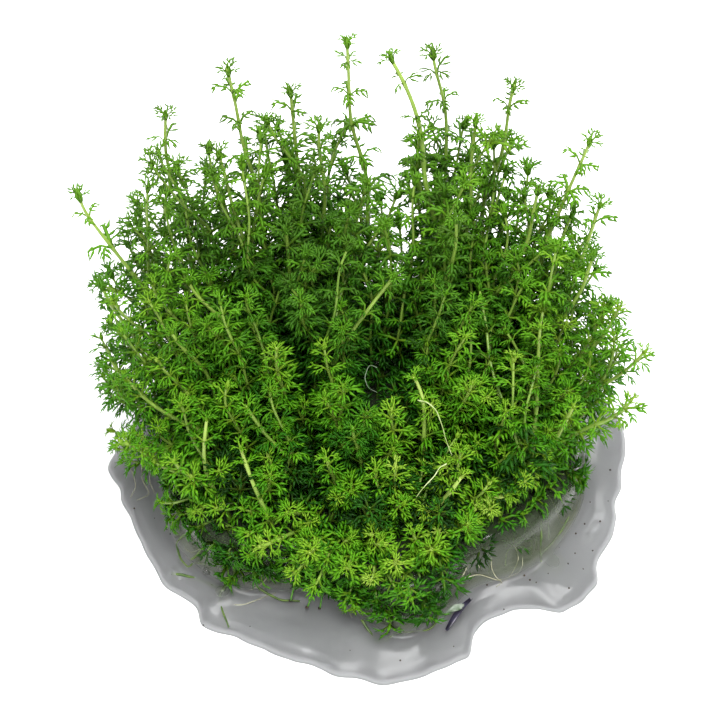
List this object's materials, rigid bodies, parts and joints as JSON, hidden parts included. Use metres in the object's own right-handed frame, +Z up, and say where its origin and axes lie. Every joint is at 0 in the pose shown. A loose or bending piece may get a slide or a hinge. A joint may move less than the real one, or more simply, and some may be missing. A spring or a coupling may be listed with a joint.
{
  "type": "water milfoil clump",
  "caption": "Bushy clump of upright leafy water plant shoots standing in a lobed pad of clear nutrient jelly, flat underneath.",
  "frame": {"origin": "middle of the gel pad's flat underside", "axes": "+Z up out of the gel, the tall shoots lie towards +Y and the short front shoots face -Y"},
  "size_m": [0.0976, 0.0815, 0.069],
  "materials": {
    "gel": "clear greyish wet jelly",
    "tall_shoots": "moist dark green leaf, slightly translucent",
    "front_shoots": "moist bright yellow-green leaf, slightly translucent"
  },
  "bodies": {
    "root": {"gel_pad": "gel", "shoot_01": "tall_shoots", "shoot_02": "tall_shoots", "shoot_03": "tall_shoots", "shoot_04": "tall_shoots", "shoot_05": "tall_shoots", "shoot_06": "tall_shoots", "shoot_07": "tall_shoots", "shoot_08": "tall_shoots", "shoot_09": "tall_shoots", "shoot_10": "tall_shoots", "shoot_11": "tall_shoots", "shoot_12": "tall_shoots", "shoot_13": "tall_shoots", "shoot_14": "tall_shoots", "shoot_15": "tall_shoots", "shoot_16": "tall_shoots", "shoot_17": "tall_shoots", "shoot_18": "tall_shoots", "shoot_19": "tall_shoots", "shoot_20": "tall_shoots", "shoot_21": "tall_shoots", "shoot_22": "tall_shoots", "shoot_23": "tall_shoots", "shoot_24": "tall_shoots", "shoot_25": "tall_shoots", "shoot_26": "front_shoots", "shoot_27": "front_shoots", "shoot_28": "front_shoots", "shoot_29": "front_shoots", "shoot_30": "front_shoots", "shoot_31": "front_shoots", "shoot_32": "front_shoots", "shoot_33": "front_shoots", "shoot_34": "front_shoots", "shoot_35": "front_shoots", "shoot_36": "front_shoots", "shoot_37": "front_shoots", "shoot_38": "front_shoots", "shoot_39": "front_shoots", "shoot_40": "front_shoots", "shoot_41": "front_shoots", "shoot_42": "front_shoots", "shoot_43": "front_shoots", "shoot_44": "front_shoots", "shoot_45": "front_shoots", "shoot_46": "front_shoots", "shoot_47": "front_shoots", "shoot_48": "front_shoots", "shoot_49": "front_shoots", "shoot_50": "front_shoots", "shoot_51": "front_shoots", "shoot_52": "front_shoots"}
  },
  "joints": []
}
